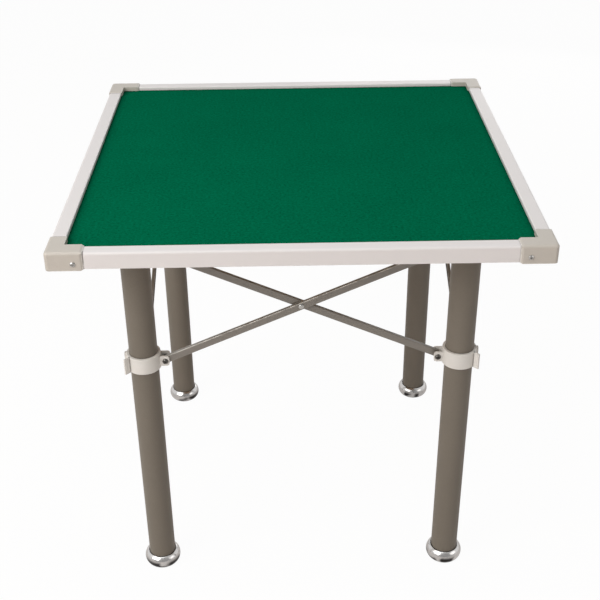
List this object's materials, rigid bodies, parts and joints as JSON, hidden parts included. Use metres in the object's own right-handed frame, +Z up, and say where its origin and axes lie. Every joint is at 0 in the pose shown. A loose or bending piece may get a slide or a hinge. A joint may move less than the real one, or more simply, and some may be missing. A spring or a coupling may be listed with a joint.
{
  "type": "folding mahjong table",
  "caption": "Square felt-topped mahjong table: a railed top that lifts off a folding scissor base of tube legs, crossing bars, sliding collars and levelling feet.",
  "frame": {"origin": "on the floor, under the middle of the table, with the base open", "axes": "+Z up; -Y the side that faces the camera; +X to that viewer's right"},
  "size_m": [0.804, 0.804, 0.752],
  "materials": {
    "playing_cloth": "dense short felt, matt",
    "board": "pressed board, bare below",
    "rail": "off-white, satin",
    "corner_cap": "beige grey, fine moulded grain",
    "leg_paint": "taupe grey, satin baked paint",
    "brace_paint": "taupe grey, satin baked paint",
    "white_plastic": "off-white moulded",
    "dark_plastic": "black moulded",
    "foot_chrome": "bright plated",
    "zinc": "zinc plated"
  },
  "bodies": {
    "table_top": {"playing_cloth": "playing_cloth", "table_board": "board", "leg_locators": "dark_plastic", "cap_screws": "zinc", "locator_screws": "zinc", "rail_front": "rail", "rail_right": "rail", "rail_back": "rail", "rail_left": "rail", "corner_cap_front_left": "corner_cap", "corner_cap_front_right": "corner_cap", "corner_cap_back_right": "corner_cap", "corner_cap_back_left": "corner_cap"},
    "front_left_leg": {"leg_tube_front_left": "leg_paint", "leg_head_front_left": "white_plastic", "head_pivots_front_left": "zinc", "foot_socket_front_left": "dark_plastic"},
    "front_left_collar": {"collar_front_left": "white_plastic", "collar_pivots_front_left": "zinc"},
    "front_left_foot": {"foot_cup_front_left": "foot_chrome", "foot_stud_front_left": "zinc"},
    "front_right_leg": {"leg_tube_front_right": "leg_paint", "leg_head_front_right": "white_plastic", "head_pivots_front_right": "zinc", "foot_socket_front_right": "dark_plastic"},
    "front_right_collar": {"collar_front_right": "white_plastic", "collar_pivots_front_right": "zinc"},
    "front_right_foot": {"foot_cup_front_right": "foot_chrome", "foot_stud_front_right": "zinc"},
    "back_right_leg": {"leg_tube_back_right": "leg_paint", "leg_head_back_right": "white_plastic", "head_pivots_back_right": "zinc", "foot_socket_back_right": "dark_plastic"},
    "back_right_collar": {"collar_back_right": "white_plastic", "collar_pivots_back_right": "zinc"},
    "back_right_foot": {"foot_cup_back_right": "foot_chrome", "foot_stud_back_right": "zinc"},
    "back_left_leg": {"leg_tube_back_left": "leg_paint", "leg_head_back_left": "white_plastic", "head_pivots_back_left": "zinc", "foot_socket_back_left": "dark_plastic"},
    "back_left_collar": {"collar_back_left": "white_plastic", "collar_pivots_back_left": "zinc"},
    "back_left_foot": {"foot_cup_back_left": "foot_chrome", "foot_stud_back_left": "zinc"},
    "front_outer_brace": {"brace_front_outer": "brace_paint"},
    "front_inner_brace": {"brace_front_inner": "brace_paint", "cross_rivet_front": "zinc"},
    "right_outer_brace": {"brace_right_outer": "brace_paint"},
    "right_inner_brace": {"brace_right_inner": "brace_paint", "cross_rivet_right": "zinc"},
    "back_outer_brace": {"brace_back_outer": "brace_paint", "cross_rivet_back": "zinc"},
    "back_inner_brace": {"brace_back_inner": "brace_paint"},
    "left_outer_brace": {"brace_left_outer": "brace_paint", "cross_rivet_left": "zinc"},
    "left_inner_brace": {"brace_left_inner": "brace_paint"}
  },
  "joints": [
    {"name": "base_fold", "type": "hinge", "parent": "front_left_leg", "child": "front_inner_brace", "pos_m": [-0.2402, -0.279, 0.687], "axis": [0, 1, 0], "range_deg": [0, 62]},
    {"name": "front_crossing", "type": "hinge", "parent": "front_inner_brace", "child": "front_outer_brace", "pos_m": [0, -0.279, 0.5815], "axis": [0, 1, 0], "range_deg": [-124, 0]},
    {"name": "front_right_collar_pivot", "type": "hinge", "parent": "front_inner_brace", "child": "front_right_collar", "pos_m": [0.2402, -0.279, 0.476], "axis": [0, 1, 0], "range_deg": [-62, 0]},
    {"name": "front_left_collar_pivot", "type": "hinge", "parent": "front_outer_brace", "child": "front_left_collar", "pos_m": [-0.2402, -0.279, 0.476], "axis": [0, 1, 0], "range_deg": [0, 62]},
    {"name": "front_right_head_pivot", "type": "hinge", "parent": "front_outer_brace", "child": "front_right_leg", "pos_m": [0.2402, -0.279, 0.687], "axis": [0, 1, 0], "range_deg": [0, 62]},
    {"name": "left_fold", "type": "hinge", "parent": "front_left_leg", "child": "left_outer_brace", "pos_m": [-0.279, -0.2402, 0.687], "axis": [-1, 0, 0], "range_deg": [0, 62]},
    {"name": "left_crossing", "type": "hinge", "parent": "left_outer_brace", "child": "left_inner_brace", "pos_m": [-0.279, 0, 0.5815], "axis": [-1, 0, 0], "range_deg": [-124, 0]},
    {"name": "back_left_collar_pivot", "type": "hinge", "parent": "left_outer_brace", "child": "back_left_collar", "pos_m": [-0.279, 0.2402, 0.476], "axis": [-1, 0, 0], "range_deg": [-62, 0]},
    {"name": "back_left_head_pivot", "type": "hinge", "parent": "left_inner_brace", "child": "back_left_leg", "pos_m": [-0.279, 0.2402, 0.687], "axis": [-1, 0, 0], "range_deg": [0, 62]},
    {"name": "right_fold", "type": "hinge", "parent": "front_right_leg", "child": "right_inner_brace", "pos_m": [0.279, -0.2402, 0.687], "axis": [-1, 0, 0], "range_deg": [0, 62]},
    {"name": "right_crossing", "type": "hinge", "parent": "right_inner_brace", "child": "right_outer_brace", "pos_m": [0.279, 0, 0.5815], "axis": [-1, 0, 0], "range_deg": [-124, 0]},
    {"name": "back_right_collar_pivot", "type": "hinge", "parent": "right_inner_brace", "child": "back_right_collar", "pos_m": [0.279, 0.2402, 0.476], "axis": [-1, 0, 0], "range_deg": [-62, 0]},
    {"name": "back_right_head_pivot", "type": "hinge", "parent": "right_outer_brace", "child": "back_right_leg", "pos_m": [0.279, 0.2402, 0.687], "axis": [-1, 0, 0], "range_deg": [0, 62]},
    {"name": "back_fold", "type": "hinge", "parent": "back_left_leg", "child": "back_outer_brace", "pos_m": [-0.2402, 0.279, 0.687], "axis": [0, 1, 0], "range_deg": [0, 62]},
    {"name": "back_crossing", "type": "hinge", "parent": "back_outer_brace", "child": "back_inner_brace", "pos_m": [0, 0.279, 0.5815], "axis": [0, 1, 0], "range_deg": [-124, 0]},
    {"name": "top_lift", "type": "slide", "parent": "front_left_leg", "child": "table_top", "axis": [0, 0, 1], "range_m": [0, 0.15]},
    {"name": "front_left_foot_screw", "type": "slide", "parent": "front_left_leg", "child": "front_left_foot", "axis": [0, 0, -1], "range_m": [0, 0.02]},
    {"name": "front_right_foot_screw", "type": "slide", "parent": "front_right_leg", "child": "front_right_foot", "axis": [0, 0, -1], "range_m": [0, 0.02]},
    {"name": "back_right_foot_screw", "type": "slide", "parent": "back_right_leg", "child": "back_right_foot", "axis": [0, 0, -1], "range_m": [0, 0.02]},
    {"name": "back_left_foot_screw", "type": "slide", "parent": "back_left_leg", "child": "back_left_foot", "axis": [0, 0, -1], "range_m": [0, 0.02]}
  ],
  "couplings": [
    {"joint": "front_crossing", "follows": "base_fold", "ratio": -2},
    {"joint": "front_right_collar_pivot", "follows": "base_fold", "ratio": -1},
    {"joint": "front_left_collar_pivot", "follows": "base_fold", "ratio": 1},
    {"joint": "front_right_head_pivot", "follows": "base_fold", "ratio": 1},
    {"joint": "left_fold", "follows": "base_fold", "ratio": 1},
    {"joint": "left_crossing", "follows": "base_fold", "ratio": -2},
    {"joint": "back_left_collar_pivot", "follows": "base_fold", "ratio": -1},
    {"joint": "back_left_head_pivot", "follows": "base_fold", "ratio": 1},
    {"joint": "right_fold", "follows": "base_fold", "ratio": 1},
    {"joint": "right_crossing", "follows": "base_fold", "ratio": -2},
    {"joint": "back_right_collar_pivot", "follows": "base_fold", "ratio": -1},
    {"joint": "back_right_head_pivot", "follows": "base_fold", "ratio": 1},
    {"joint": "back_fold", "follows": "base_fold", "ratio": 1},
    {"joint": "back_crossing", "follows": "base_fold", "ratio": -2}
  ]
}
